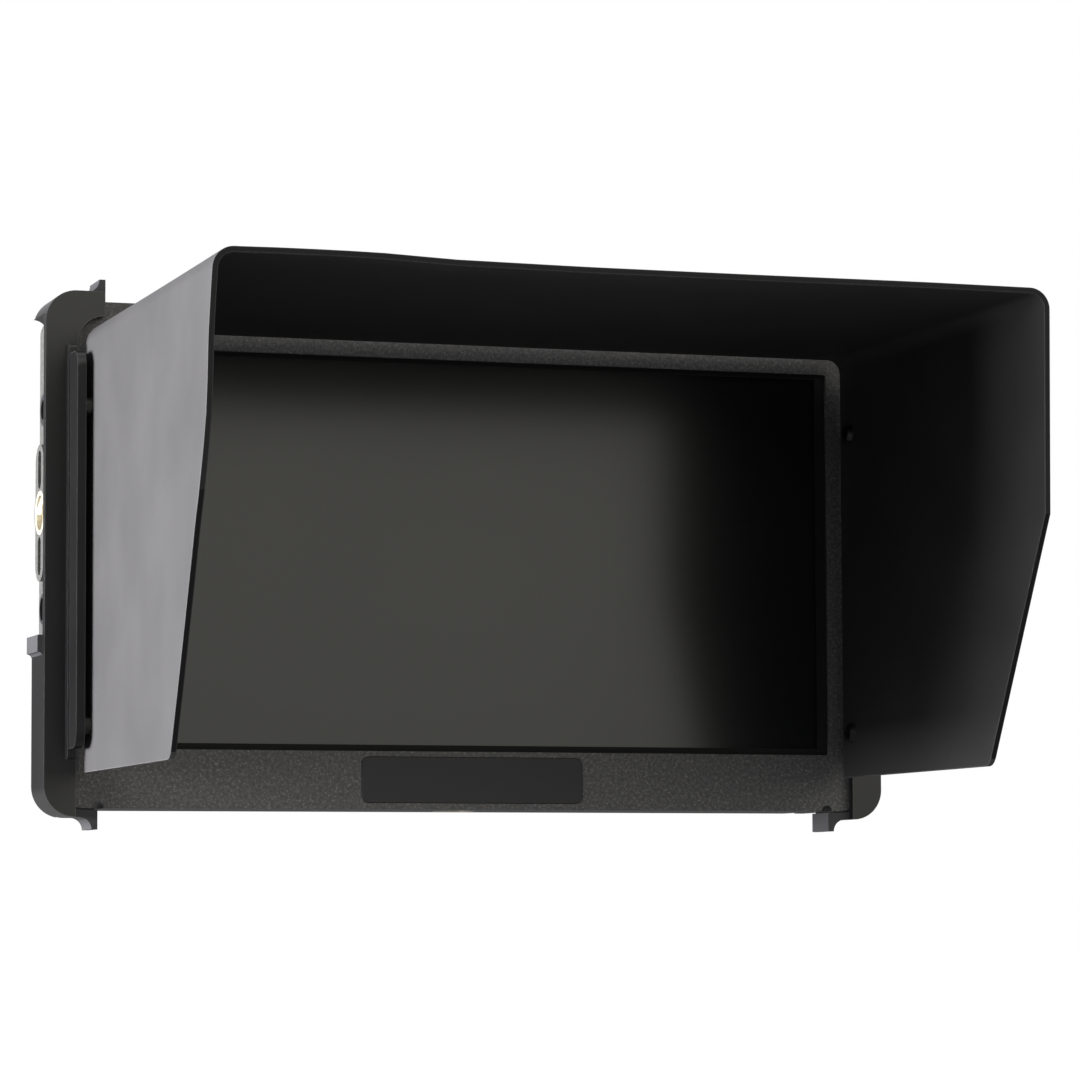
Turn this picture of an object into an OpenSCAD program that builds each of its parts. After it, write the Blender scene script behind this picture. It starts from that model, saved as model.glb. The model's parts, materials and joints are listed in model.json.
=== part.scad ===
// Camera field monitor with a detachable sun hood.
// X runs to the right for a viewer who faces the screen, the screen faces -Y, Z is up.
// The origin is at the mouth of the tripod socket, in the underside of the monitor.

/* [Monitor body] */
// Width of the monitor body
body_w = 154; // [140:1:180]
// Height of the monitor body
body_h = 91; // [86:1:110]
// Depth of the monitor body, screen face to back face
body_d = 20.5; // [17:0.5:24]
// Radius of the four corners, seen from the front
corner_r = 4; // [3:0.5:5]
// Chamfer round the back face
back_chamfer = 1.2; // [0.5:0.1:1.6]
// Depth of the front bezel frame
bezel_d = 6.8; // [6.6:0.1:8]
// Wall of the rear housing
wall = 2; // [1.8:0.1:2.6]
// Radius of the grooves that run through the depth at top and bottom
groove_r = 1.1; // [0.6:0.1:1.4]
// Distance of each groove from the end of the body
groove_in = 6.8; // [6:0.1:8]

/* [Screen] */
// Width of the window in the bezel
window_w = 141.2; // [132:0.2:142]
// Height of the window in the bezel
window_h = 72.4; // [70:0.2:73]
// Height of the bar below the window
window_z = 10.6; // [10:0.1:11.5]
// Depth of the bezel lip in front of the glass
lip_d = 0.9; // [0.6:0.1:1.2]
// How far the glass reaches behind the lip
glass_lap = 1.4; // [1:0.1:2]
// Thickness of the cover glass
glass_t = 1.1; // [0.8:0.1:1.3]
// Width of the display panel
panel_w = 139; // [125:1:140]
// Height of the display panel
panel_h = 71.6; // [66:0.2:73]
// Thickness of the display panel
panel_t = 1.6; // [1.2:0.1:1.8]
// Thickness of the backlight
backlight_t = 2; // [1.6:0.1:2.2]
// Thickness of the sheet that carries the backlight
tray_t = 0.5; // [0.4:0.1:0.6]

/* [Name plate] */
// Width of the bare name plate
plate_w = 42.5; // [30:0.5:50]
// Height of the bare name plate
plate_h = 8.4; // [6:0.1:8.6]
// Height of its lower edge above the underside
plate_z = 1.2; // [1:0.1:1.4]
// Thickness of the name plate
plate_t = 0.8; // [0.5:0.1:1.2]
// How far the plate stands proud of the bezel
plate_proud = 0.15; // [0.1:0.05:0.3]

/* [Tripod mounts] */
// Distance of the mount axes behind the screen face
mount_y = 12; // [11.8:0.1:12.4]
// Radius of the mount holes, at the crest of a quarter-inch screw
mount_r = 3.2; // [2.4:0.05:3.3]
// Outer radius of the threaded inserts
insert_r = 4.1; // [3.9:0.1:4.4]
// Length of the threaded inserts
insert_len = 8.5; // [8:0.5:10]
// Depth of the hole in each insert
mount_depth = 7; // [6:0.5:7.5]
// Height of the side mount above the underside
side_mount_z = 54; // [50:1:56]
// Distance of the side mount behind the screen face
side_mount_in = 14.5; // [13:0.1:15]
// Length of the side mounting pad
pad_len = 25; // [25:0.5:30]
// Width of the side mounting pad
pad_w = 7.2; // [6.4:0.1:9.6]
// Thickness of the side mounting pad
pad_t = 1.8; // [1.5:0.1:2]
// How far the pad stands proud of the side
pad_proud = 1; // [0.5:0.1:1.2]
// Length of the anti-twist slots
slot_len = 7; // [5:0.5:7.5]
// Width of the anti-twist slots
slot_w = 2.6; // [2:0.1:3]

/* [Top controls] */
// Depth of the control row behind the screen face
control_y = 11.6; // [11:0.1:12]
// How far the buttons stand out of the top
button_proud = 0.9; // [0.6:0.1:1.4]
// Travel of the buttons
button_travel = 0.5; // [0.3:0.1:0.6]
// Radius of the power button
power_r = 3; // [2:0.1:3.4]
// Place of the power button to the side of the middle
power_x = -31; // [-33:1:-28]
// Length of the function buttons
key_len = 7.4; // [5:0.2:8]
// Width of the function buttons
key_w = 3.6; // [3:0.2:5]
// Spacing of the function buttons
key_pitch = 11; // [10.5:0.5:11.5]
// Place of the first function button to the side of the middle
key_x = -17; // [-18:0.5:-16]
// Radius of the menu dial
dial_r = 5.2; // [4.8:0.1:5.6]
// Width of the menu dial
dial_w = 4.4; // [4:0.1:4.6]
// How far the dial stands out of the top
dial_proud = 1.8; // [1.2:0.1:2.2]
// Place of the dial to the side of the middle
dial_x = 33; // [32:0.5:35]
// Radius of the dial's axle
axle_r = 1; // [0.8:0.1:1.2]

/* [Battery plate] */
// Width between the rails
rail_gap = 38.8; // [36:0.2:40]
// Height of the battery plate
rail_len = 66; // [62:1:68]
// Height of its lower edge above the underside
rail_z = 12; // [11:0.5:13]
// Thickness of the base of the battery plate
base_t = 2.2; // [1.8:0.1:2.6]
// Height of the rails above the base
rail_h = 4.8; // [4.2:0.1:6]
// Thickness of the rails
rail_t = 2.4; // [1.8:0.1:3]
// Reach of the rail lips over the battery
rail_lip = 1.6; // [1:0.1:2]
// Travel of the battery latch
latch_travel = 1.6; // [1.2:0.1:1.8]
// Width of the battery latch
latch_w = 12; // [10:0.5:14]
// Height of the battery latch
latch_h = 6; // [5:0.5:7]

/* [Hood brackets] */
// Gap between the brackets and the monitor
fit_gap = 0.3; // [0.2:0.05:0.4]
// Thickness of the side walls of the brackets
side_t = 3.1; // [2:0.1:3.4]
// Thickness of the lips over the top and the underside
lip_t = 1.3; // [0.9:0.1:1.6]
// Thickness of the front plate of the brackets
front_t = 1.8; // [1.4:0.1:2.4]
// Width of the front plate of the brackets
front_w = 5.8; // [5.2:0.1:6]
// Outer corner radius of the brackets
bracket_r = 5.6; // [4.5:0.1:6]
// Depth of the lips behind the front plate
lip_len = 8; // [6:0.5:9]
// Depth of the lower side wall behind the front plate
side_len = 9.4; // [8:0.1:13]
// Height of the lower side wall
side_h = 30.8; // [26:0.1:33]
// Height of the upper side wall
side_top_h = 4.1; // [3.6:0.1:9]
// Thickness of the rail that carries the hood
rib_t = 1.6; // [1.4:0.1:2.3]
// How far the rail stands forward of the front plate
rib_len = 7.4; // [6.5:0.1:9]

/* [Sun hood] */
// Thickness of the sheet
hood_t = 1; // [0.8:0.1:1.5]
// Outer radius of the two long bends
bend_r = 3.6; // [3:0.1:5]
// Depth of the top panel
hood_len = 90.1; // [70:0.1:120]
// Depth of the side panels at the lower edge
hood_low_len = 65.4; // [55:0.1:70]
// Height of the lower edge above the underside of the monitor
hood_z = 6.2; // [5:0.1:8]
// Height of the top panel at the back
hood_top = 86.4; // [80:0.1:87]
// Rise of the top panel from back to front
hood_rise = 0; // [0:0.1:6]
// Height at which the front edge of the side panels turns back
kink_z = 48; // [35:1:60]
// How far the front edge of the side panels leans back at that height
kink_in = 0.9; // [0:0.1:2]
// Gap between the hood and the bezel
hood_gap = 3; // [0.3:0.1:4]
// Thickness of the washers between rail and hood
washer_t = 1.3; // [0.6:0.1:1.6]
// Radius of the hood screws
screw_r = 1; // [0.8:0.1:1.1]
// Height of the upper pair of hood screws
screw_top_z = 71; // [66:1:75]
// Height of the lower pair of hood screws
screw_low_z = 14.5; // [13:0.5:20]

/* [Hidden] */
$fn = 48;

// Planes of the monitor
front_y = -mount_y;
side_mount_y = front_y + side_mount_in;
pad_rim = 0.4;
pad_slot_t = 1.3;
split_y = front_y + bezel_d;
back_y = front_y + body_d;
back_t = 1.8;
inner_y = back_y - back_t;
ctrl_y = front_y + control_y;
half_w = body_w / 2;
eps = 0.01;
cut = 1;
slack = 0.05;

// Layers behind the glass
glass_y = front_y + lip_d + slack;
panel_y = glass_y + glass_t + slack;
light_y = panel_y + panel_t + slack;
tray_y = light_y + backlight_t + slack;
glass_w = window_w + 2 * glass_lap;
glass_h = window_h + 2 * glass_lap;
mid_z = window_z + window_h / 2;
panel_clear = 0.3;
pocket_w = max(glass_w, panel_w + 2 * panel_clear);
pocket_h = max(glass_h, panel_h + 2 * panel_clear);
pocket_top = mid_z + pocket_h / 2;

// Boards: the main board hangs on bosses of the back wall
board_t = 1.6;
standoff = 6;
board_y = inner_y - standoff - board_t;
board_back = board_y + board_t;
board_left_in = 15;
board_right_in = 9;
board_low_in = 12;
board_top_in = 13;
board_x0 = -half_w + board_left_in;
board_x1 = half_w - board_right_in;
board_z0 = board_low_in;
board_z1 = body_h - board_top_in;
key_board_t = 1;
switch_h = 1.6;

// Housing screws: M2, into the bezel
m2_r = 1;
m2_hole = 1.15;
m2_pilot = 1.05;
m2_head_r = 1.9;
m2_head_t = 1.1;
m2_seat = 0.1;
m2_grip = 3.6;
hex_r = 0.9;
hex_deep = 0.7;
post_r = 2.6;
post_in = 3.4;
post_low = 4.9;
post_over = 0.6;
post_high = (body_h - pocket_top) / 2 + post_over;
post_blind = 2.4;
housing_screw_at = [
  for (x = [half_w - post_in, half_w * 0.6], sx = [-1, 1], z = [post_low, body_h - post_high])
    [sx * x, z]
];

// Board screws
board_screw_in = 5;
board_screw_grip = 2;
board_head_t = 0.8;
board_screw_at = [
  for (x = [board_x0 + board_screw_in, board_x1 - board_screw_in])
    for (z = [board_z0 + board_screw_in, board_z1 - board_screw_in]) [x, z]
];

// Buttons
button_gap = 0.25;
flange_t = 1;
flange_lap = 1;
flange_gap = 0.2;
wall_under = body_h - wall;
button_bottom = wall_under - flange_gap - flange_t;
switch_gap = 0.15;
switch_top = button_bottom - button_travel - switch_gap;
switch_w = 3.4;
switch_stem_r = 0.8;
switch_stem_h = 0.5;
key_board_z = switch_top - switch_h - key_board_t;
key_board_end = 5;
key_board_x0 = power_x - key_board_end;
key_board_x1 = key_x + 3 * key_pitch + key_board_end + 0.4;
key_board_w = 7.6;
shelf_t = 1.2;
shelf_w = 4;
shelf_in = 4;

// Dial
dial_z = body_h + dial_proud - dial_r;
dial_gap = 0.35;
cheek_t = 1;
cheek_gap = 0.3;
axle_clear = 0.06;
dial_floor_gap = 0.6;
dial_floor_t = 1.2;
dial_low = dial_z - dial_r - dial_floor_gap - dial_floor_t;

// Heat spreader on the largest chip
chip_t = 1;
chip_x = -30;
chip_z = 28;
spreader_w = 16;
spreader_t = 0.9;
fin_t = 1;
fin_h = 2;
fin_pitch = 3.4;

// Side ports
port_drop = 18;
headphone_z = body_h - port_drop;
power_jack_z = 36.5;
headphone_r = 2.8;
power_jack_r = 2.7;
jack_lap = 0.2;
jack_neck = 0.5;
jack_body_gap = 0.3;
jack_collar = 0.4;
jack_on_board = 2;
jack_pin_r = 0.5;
jack_pin_in = 1;
headphone_hole_r = 1.8;
headphone_depth = 12;
power_hole_r = 2.1;
power_depth = 9;
hdmi_w = 14.4;
hdmi_h = 5;
hdmi_wall = 0.5;
hdmi_len = 11;
hdmi_tongue_w = 11.2;
hdmi_tongue_t = 1.3;
usb_z = body_h - port_drop;
usb_w = 9;
usb_h = 3.4;
usb_wall = 0.35;
usb_len = 7;
usb_tongue_w = 6.2;
usb_tongue_t = 0.7;
usb_apart = 1.3;
video_apart = 3.6;
video_in_z = usb_z - usb_w / 2 - usb_apart - hdmi_w / 2;
video_out_z = video_in_z - hdmi_w - video_apart;
port_gap = 0.2;
port_recess = 0.2;
port_floor = 1;
port_y = board_back + hdmi_h / 2 + slack;
usb_y = board_back + usb_h / 2 + slack;
jack_y = board_back + headphone_r + 2 * slack;

// Battery plate
base_w = rail_gap + 2 * rail_t;
base_y = back_y;
rail_y = back_y + base_t;
latch_drop = 9;
latch_z = rail_z + rail_len - latch_drop;
latch_gap = 0.3;
latch_flange = 1.6;
latch_flange_t = 1.2;
cup_floor_t = 1;
cup_rim = 3.2;
cup_depth = 5.4;
cup_y = back_y - cup_depth;
latch_y = back_y - 0.2 - latch_flange_t;
block_h = 7;
block_w = 26;
block_d = 4.2;
blade_pitch = 8;
blade_t = 0.7;
blade_w = 2.2;
blade_h = 7;
blade_in = 4;
blade_y = rail_y + 1.6;
blade_slot = 0.45;
rail_lip_t = 1.6;
plate_screw_in = 5;
plate_screw_low = 14;
plate_screw_top = 20;
battery_screw_at = [
  for (sx = [-1, 1], z = [rail_z + plate_screw_low, rail_z + rail_len - plate_screw_top])
    [sx * (rail_gap / 2 - plate_screw_in), z]
];

// Brackets and hood
plate_y = front_y - fit_gap - front_t;
bracket_x = half_w + fit_gap + side_t;
rail_x = bracket_x - front_w;
bracket_low = -fit_gap - lip_t;
bracket_h = body_h + 2 * (fit_gap + lip_t);
bracket_top = bracket_low + bracket_h;
lip_low_in = 10.1;
lip_top_in = 11.2;
tab_t = 1.1;
tab_low = 2.2;
tab_top = 2.4;
shoulder_in = 10.8;
shoulder_h = 4.5;
shoulder_r = shoulder_in - front_w;
ramp_t = 0.4;
flare = 0.9;
flare_h = 3;
hood_x = rail_x - washer_t;
hood_corner_r = 3;
hood_back = front_y - hood_gap;
hood_front = hood_back - hood_len;
lean = atan(hood_rise / hood_len);
screw_out = 7.4;
screw_y = front_y - screw_out;
screw_head_r = 1.9;
screw_head_t = 0.9;
screw_grip = rib_t - 0.6;
washer_r = 1.7;
rib_low = hood_z + 4.2;
rib_top = hood_top - 5.4;
rib_r = 3;
foot_lap = 1.8;
foot_side = 0.3;
foot_len = 1.4;

// Rounded rectangle, centred sideways, standing on the axis
module round_rect(w, h, r) {
  translate([-w / 2 + r, 0]) square([w - 2 * r, h]);
  translate([-w / 2, r]) square([w, h - 2 * r]);
  for (sx = [-1, 1], y = [r, h - r])
    translate([sx * (w / 2 - r), y]) circle(r);
}

// Slot with round ends, centred, long along its first axis
module slot_shape(len, w) {
  square([len - w, w], center = true);
  for (sx = [-1, 1]) translate([sx * (len - w) / 2, 0]) circle(w / 2);
}

// Front view outline given depth d backwards from plane y
module deep(y, d) {
  translate([0, y + d, 0]) rotate([90, 0, 0]) linear_extrude(d) children();
}

// Side view outline (depth, height) given width w to the right of x
module wide(x, w) {
  translate([x, 0, 0]) rotate([90, 0, 90]) linear_extrude(w) children();
}

// Pin along Y from plane y, and pin along X from plane x
module pin_y(x, y, z, r, d) {
  translate([x, y, z]) rotate([-90, 0, 0]) cylinder(r = r, h = d);
}
module pin_x(x, y, z, r, d) {
  translate([x, y, z]) rotate([0, 90, 0]) cylinder(r = r, h = d);
}

// Box by its low corner and its size, centred sideways on x
module block(x, y, z, w, d, h) {
  translate([x - w / 2, y, z]) cube([w, d, h]);
}

// The four grooves along the depth at the ends of the top and the underside
module grooves() {
  for (sx = [-1, 1], z = [0, body_h])
    pin_y(sx * (half_w - groove_in), front_y - cut, z, groove_r, body_d + 2 * cut);
}

module front_bezel() {
  color("#2b2a2c") difference() {
    deep(front_y, bezel_d) round_rect(body_w, body_h, corner_r);
    translate([0, 0, window_z])
      deep(front_y - cut, bezel_d + 2 * cut) round_rect(window_w, window_h, 0.5);
    translate([0, 0, mid_z - glass_h / 2])
      deep(front_y + lip_d, bezel_d) round_rect(glass_w, glass_h, 1.2);
    translate([0, 0, mid_z - pocket_h / 2])
      deep(panel_y - slack, bezel_d) round_rect(pocket_w, pocket_h, 1.2);
    translate([0, 0, plate_z - slack])
      deep(front_y - cut, cut + plate_t - plate_proud)
        round_rect(plate_w + 2 * slack, plate_h + 2 * slack, 1.3 + slack);
    grooves();
    for (p = housing_screw_at) pin_y(p[0], front_y + post_blind, p[1], m2_pilot, bezel_d);
  }
}

// Rear shell with its chamfered back edge
module shell_outside() {
  deep(split_y, back_y - split_y - back_chamfer) round_rect(body_w, body_h, corner_r);
  for (i = [0:3]) {
    s = back_chamfer * (i + 1) / 4;
    translate([0, 0, s])
      deep(back_y - back_chamfer - eps, back_chamfer * (4 - i) / 4 + eps)
        round_rect(body_w - 2 * s, body_h - 2 * s, corner_r - s / 2);
  }
}

module shell_inside() {
  translate([0, 0, wall])
    deep(split_y - cut, inner_y - split_y + cut)
      round_rect(body_w - 2 * wall, body_h - 2 * wall, corner_r - wall / 2);
}

// Bosses for inserts, screws, board and battery latch
module housing_bosses() {
  intersection() {
    union() {
      cylinder(r = insert_r + 2, h = insert_len + 1);
      pin_x(-half_w, side_mount_y, side_mount_z, insert_r + 2, insert_len + 1);
      for (p = housing_screw_at)
        pin_y(p[0], split_y, p[1], post_r, inner_y - split_y + eps);
    }
    deep(split_y + slack, body_d - bezel_d - 1) round_rect(body_w - 1, body_h - 1, corner_r);
  }
  for (p = board_screw_at)
    pin_y(p[0], board_back, p[1], post_r, inner_y - board_back + eps);
  block(0, cup_y, latch_z - latch_h / 2 - cup_rim, latch_w + 2 * cup_rim,
    inner_y - cup_y + eps, latch_h + 2 * cup_rim);
  // Shelves under the key board and under the dial frame
  for (at = [
    [key_board_x0 + shelf_in, key_board_z], [key_board_x1 - shelf_in, key_board_z],
    [dial_x, dial_low]
  ])
    block(at[0], ctrl_y - 1, at[1] - shelf_t, shelf_w, inner_y - ctrl_y + 1 + eps, shelf_t);
}

module vent_slots() {
  for (sx = [-1, 1], i = [0:6])
    translate([sx * (base_w / 2 + 12 + i * 4), 0, body_h / 2])
      deep(inner_y - cut, back_t + 2 * cut) rotate(90) slot_shape(34, 1.8);
}

module rear_housing() {
  latch_hole_w = latch_w + 2 * latch_flange + 2 * latch_gap;
  latch_hole_h = latch_h + 2 * latch_flange + 2 * latch_gap;
  color("#29282a") difference() {
    union() {
      difference() {
        shell_outside();
        shell_inside();
      }
      housing_bosses();
    }
    grooves();
    vent_slots();
    // Tripod insert and side insert
    translate([0, 0, -cut]) cylinder(r = insert_r + slack, h = insert_len + cut);
    pin_x(-half_w - cut, side_mount_y, side_mount_z, insert_r + slack,
      insert_len - pad_proud + cut);
    // Recess for the side pad
    wide(-half_w - cut, cut + pad_t - pad_proud) pad_outline(slack);
    // Housing screws with their counterbores, and board screws
    for (p = housing_screw_at) {
      pin_y(p[0], split_y - cut, p[1], m2_hole, body_d);
      pin_y(p[0], back_y - m2_head_t - 2 * m2_seat, p[1], m2_head_r + 2 * m2_seat, body_d);
    }
    for (p = board_screw_at) pin_y(p[0], board_y, p[1], m2_pilot, inner_y - board_y - 0.6);
    // Battery latch cup and battery plate screws
    block(0, cup_y + cup_floor_t, latch_z - latch_hole_h / 2,
      latch_hole_w, cup_depth + cut, latch_hole_h);
    for (p = battery_screw_at) pin_y(p[0], inner_y - cut, p[1], m2_pilot, back_t + 2 * cut);
    // Holes for the top controls
    translate([power_x, ctrl_y, wall_under - cut])
      cylinder(r = power_r + button_gap, h = wall + 2 * cut);
    for (i = [0:3])
      translate([key_x + i * key_pitch, ctrl_y, wall_under - cut])
        linear_extrude(wall + 2 * cut)
          slot_shape(key_len + 2 * button_gap, key_w + 2 * button_gap);
    block(dial_x, ctrl_y - dial_w / 2 - dial_gap, wall_under - cut,
      2 * dial_r + 2 * dial_gap, dial_w + 2 * dial_gap, wall + 2 * cut);
    // Side ports
    pin_x(-half_w - cut, jack_y, headphone_z, headphone_r + port_gap, wall + 2 * cut);
    pin_x(-half_w - cut, jack_y, power_jack_z, power_jack_r + port_gap, wall + 2 * cut);
    for (z = [video_in_z, video_out_z])
      wide(half_w - wall - cut, wall + 2 * cut)
        translate([port_y, z]) square([hdmi_h + 2 * port_gap, hdmi_w + 2 * port_gap], center = true);
    wide(half_w - wall - cut, wall + 2 * cut)
      translate([usb_y, usb_z]) rotate(90) slot_shape(usb_w + 2 * port_gap, usb_h + 2 * port_gap);
  }
}

module cover_glass() {
  color("#101216") translate([0, 0, window_z - glass_lap + slack])
    deep(glass_y, glass_t) round_rect(glass_w - 2 * slack, glass_h - 2 * slack, 1.2 - slack);
}

module lcd_panel() {
  color("#1d1f22") translate([0, 0, mid_z - panel_h / 2])
    deep(panel_y, panel_t) round_rect(panel_w, panel_h, 0.6);
}

module backlight() {
  color("#e6e6e2") translate([0, 0, mid_z - panel_h / 2])
    deep(light_y, backlight_t) round_rect(panel_w, panel_h, 0.6);
}

// Pressed sheet with lightening windows
module panel_tray() {
  color("#b9bcc0") difference() {
    translate([0, 0, mid_z - panel_h / 2])
      deep(tray_y, tray_t) round_rect(glass_w - 4, panel_h, 1);
    for (ix = [-1, 0, 1])
      translate([ix * (panel_w / 3), 0, mid_z - panel_h / 2 + 8])
        deep(tray_y - cut, tray_t + 2 * cut) round_rect(panel_w / 3 - 8, panel_h - 16, 3);
  }
}

module name_plate() {
  color("#161518") translate([0, 0, plate_z])
    deep(front_y - plate_proud, plate_t) round_rect(plate_w, plate_h, 1.3);
}

module main_board() {
  board_w = board_x1 - board_x0;
  color("#1f5a3a") difference() {
    union() {
      translate([(board_x0 + board_x1) / 2, 0, board_z0])
        deep(board_y, board_t) round_rect(board_w, board_z1 - board_z0, 1);
      // Chips and connectors on the rear face
      for (c = [[chip_x, chip_z + 2, 12, 12], [-8, 30, 10, 10], [18, 26, 14, 9], [-40, 56, 8, 8]])
        block(c[0], board_back - eps, c[1], c[2], chip_t + eps, c[3]);
    }
    for (p = board_screw_at) pin_y(p[0], board_y - cut, p[1], m2_hole, board_t + 2 * cut);
  }
}

module board_screws() {
  color("#c7c8ca") for (p = board_screw_at) {
    pin_y(p[0], board_y - board_head_t, p[1], m2_head_r, board_head_t + eps - slack);
    pin_y(p[0], board_y - slack, p[1], m2_r, board_t + board_screw_grip + board_t);
  }
}

// Finned aluminium block that cools the largest chip
module heat_spreader() {
  color("#9a9c9f") {
    spreader_y = board_back + chip_t + slack;
    block(chip_x, spreader_y, chip_z, spreader_w, spreader_t, spreader_w);
    for (i = [-2:2])
      block(chip_x + i * fin_pitch, spreader_y + spreader_t - eps, chip_z,
        fin_t, fin_h + eps, spreader_w);
  }
}

module key_board() {
  w = key_board_x1 - key_board_x0;
  color("#1f5a3a") {
    block(key_board_x0 + w / 2, ctrl_y - key_board_w / 2, key_board_z,
      w, key_board_w, key_board_t);
    for (x = [power_x, for (i = [0:3]) key_x + i * key_pitch]) {
      block(x, ctrl_y - switch_w / 2, key_board_z + key_board_t - eps,
        switch_w, switch_w, switch_h - switch_stem_h);
      translate([x, ctrl_y, key_board_z + key_board_t]) cylinder(r = switch_stem_r, h = switch_h);
    }
  }
}

module housing_screws() {
  color("#3a3a3c") for (p = housing_screw_at) {
    difference() {
      pin_y(p[0], back_y - m2_head_t - m2_seat, p[1], m2_head_r, m2_head_t);
      pin_y(p[0], back_y - m2_seat - hex_deep, p[1], hex_r, hex_deep + cut, $fn = 6);
    }
    pin_y(p[0], split_y - m2_grip, p[1], m2_r,
      back_y - m2_head_t - m2_seat - split_y + m2_grip + eps);
  }
}

// Threaded insert standing on its mouth, with a knurled barrel
module insert() {
  difference() {
    union() {
      cylinder(r = insert_r, h = 1.2);
      translate([0, 0, 1]) cylinder(r = insert_r - 0.3, h = insert_len - 1);
      for (z = [2.4, 5.4]) translate([0, 0, z]) cylinder(r = insert_r, h = 2.4);
    }
    translate([0, 0, -cut]) cylinder(r = mount_r, h = mount_depth + cut);
  }
}

module tripod_insert() {
  color("#c9c6bd") insert();
}

module side_insert() {
  color("#c9c6bd") translate([-half_w - pad_proud, side_mount_y, side_mount_z])
    rotate([0, 90, 0]) insert();
}

// Side view of the mounting pad, wider round the insert
module pad_outline(clear) {
  translate([side_mount_y, side_mount_z]) {
    rotate(90) slot_shape(pad_len + 2 * clear, pad_w + 2 * clear);
    circle(insert_r + pad_rim + clear);
  }
}

// Mounting pad on the left side, with anti-twist slots above and below the hole
module side_pad() {
  slot_at = (pad_len + 2 * insert_r) / 4 - 0.4;
  color("#232225") difference() {
    wide(-half_w - pad_proud, pad_t) pad_outline(0);
    pin_x(-half_w - pad_proud - cut, side_mount_y, side_mount_z, insert_r + slack, pad_t + 2 * cut);
    for (sz = [-1, 1])
      wide(-half_w - pad_proud - cut, cut + pad_slot_t)
        translate([side_mount_y, side_mount_z + sz * slot_at])
          rotate(90) slot_shape(slot_len, slot_w);
  }
}

// Round jack: a barrel in the wall and a body on the board
module jack(z, barrel_r, hole_r, hole_len, pin_r) {
  body_x = -half_w + wall + jack_body_gap;
  difference() {
    union() {
      pin_x(-half_w - jack_lap, jack_y, z, barrel_r, wall + jack_lap + jack_neck);
      translate([body_x, jack_y - barrel_r, z - barrel_r - jack_collar])
        cube([board_x0 + jack_on_board - body_x, 2 * barrel_r, 2 * (barrel_r + jack_collar)]);
    }
    pin_x(-half_w - cut, jack_y, z, hole_r, hole_len + cut);
  }
  if (pin_r > 0) pin_x(-half_w + jack_pin_in, jack_y, z, pin_r, hole_len);
}

module headphone_jack() {
  color("#141416") jack(headphone_z, headphone_r, headphone_hole_r, headphone_depth, 0);
}

module power_jack() {
  color("#141416") jack(power_jack_z, power_jack_r, power_hole_r, power_depth, jack_pin_r);
}

// Video socket: pressed shell with its contact tongue
module video_socket(z) {
  x0 = half_w - hdmi_len - port_recess;
  color("#a9abae") difference() {
    translate([x0, port_y - hdmi_h / 2, z - hdmi_w / 2]) cube([hdmi_len, hdmi_h, hdmi_w]);
    translate([x0 + port_floor, port_y - hdmi_h / 2 + hdmi_wall, z - hdmi_w / 2 + hdmi_wall])
      cube([hdmi_len, hdmi_h - 2 * hdmi_wall, hdmi_w - 2 * hdmi_wall]);
  }
  color("#141416")
    translate([x0 + port_floor - 2 * slack, port_y - hdmi_tongue_t / 2, z - hdmi_tongue_w / 2])
      cube([hdmi_len - 3 * port_floor, hdmi_tongue_t, hdmi_tongue_w]);
}

module video_in_socket() {
  video_socket(video_in_z);
}

module video_out_socket() {
  video_socket(video_out_z);
}

module usb_socket() {
  x0 = half_w - usb_len - port_recess;
  color("#a9abae") difference() {
    wide(x0, usb_len) translate([usb_y, usb_z]) rotate(90) slot_shape(usb_w, usb_h);
    wide(x0 + port_floor, usb_len)
      translate([usb_y, usb_z]) rotate(90) slot_shape(usb_w - 2 * usb_wall, usb_h - 2 * usb_wall);
  }
  color("#141416")
    translate([x0 + port_floor - 2 * slack, usb_y - usb_tongue_t / 2, usb_z - usb_tongue_w / 2])
      cube([usb_len - 2 * port_floor, usb_tongue_t, usb_tongue_w]);
}

module power_button() {
  color("#1a1a1c") translate([power_x, ctrl_y, button_bottom]) {
    cylinder(r = power_r + flange_lap, h = flange_t);
    difference() {
      cylinder(r = power_r, h = body_h + button_proud - button_bottom);
      translate([0, 0, body_h + button_proud - button_bottom - 0.3])
        cylinder(r1 = power_r - 1, r2 = power_r - 0.5, h = 0.4);
    }
  }
}

module key(i) {
  color("#1a1a1c") translate([key_x + i * key_pitch, ctrl_y, button_bottom]) {
    linear_extrude(flange_t) slot_shape(key_len + 2 * flange_lap, key_w + 2 * flange_lap);
    linear_extrude(body_h + button_proud - button_bottom) slot_shape(key_len, key_w);
  }
}

module key_1() {
  key(0);
}

module key_2() {
  key(1);
}

module key_3() {
  key(2);
}

module key_4() {
  key(3);
}

// Knurled wheel on its axle, turning about Y
module menu_dial() {
  ribs = 28;
  color("#1a1a1c") {
    difference() {
      pin_y(dial_x, ctrl_y - dial_w / 2, dial_z, dial_r, dial_w);
      for (i = [0:ribs - 1])
        translate([dial_x, ctrl_y - dial_w / 2 - cut, dial_z]) rotate([0, i * 360 / ribs, 0])
          translate([dial_r + 0.1, 0, 0]) rotate([-90, 0, 0])
            cylinder(r = 0.35, h = dial_w + 2 * cut, $fn = 6);
    }
    pin_y(dial_x, ctrl_y - dial_w / 2 - cheek_gap - cheek_t, dial_z,
      axle_r, dial_w + 2 * (cheek_gap + cheek_t));
  }
}

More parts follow.
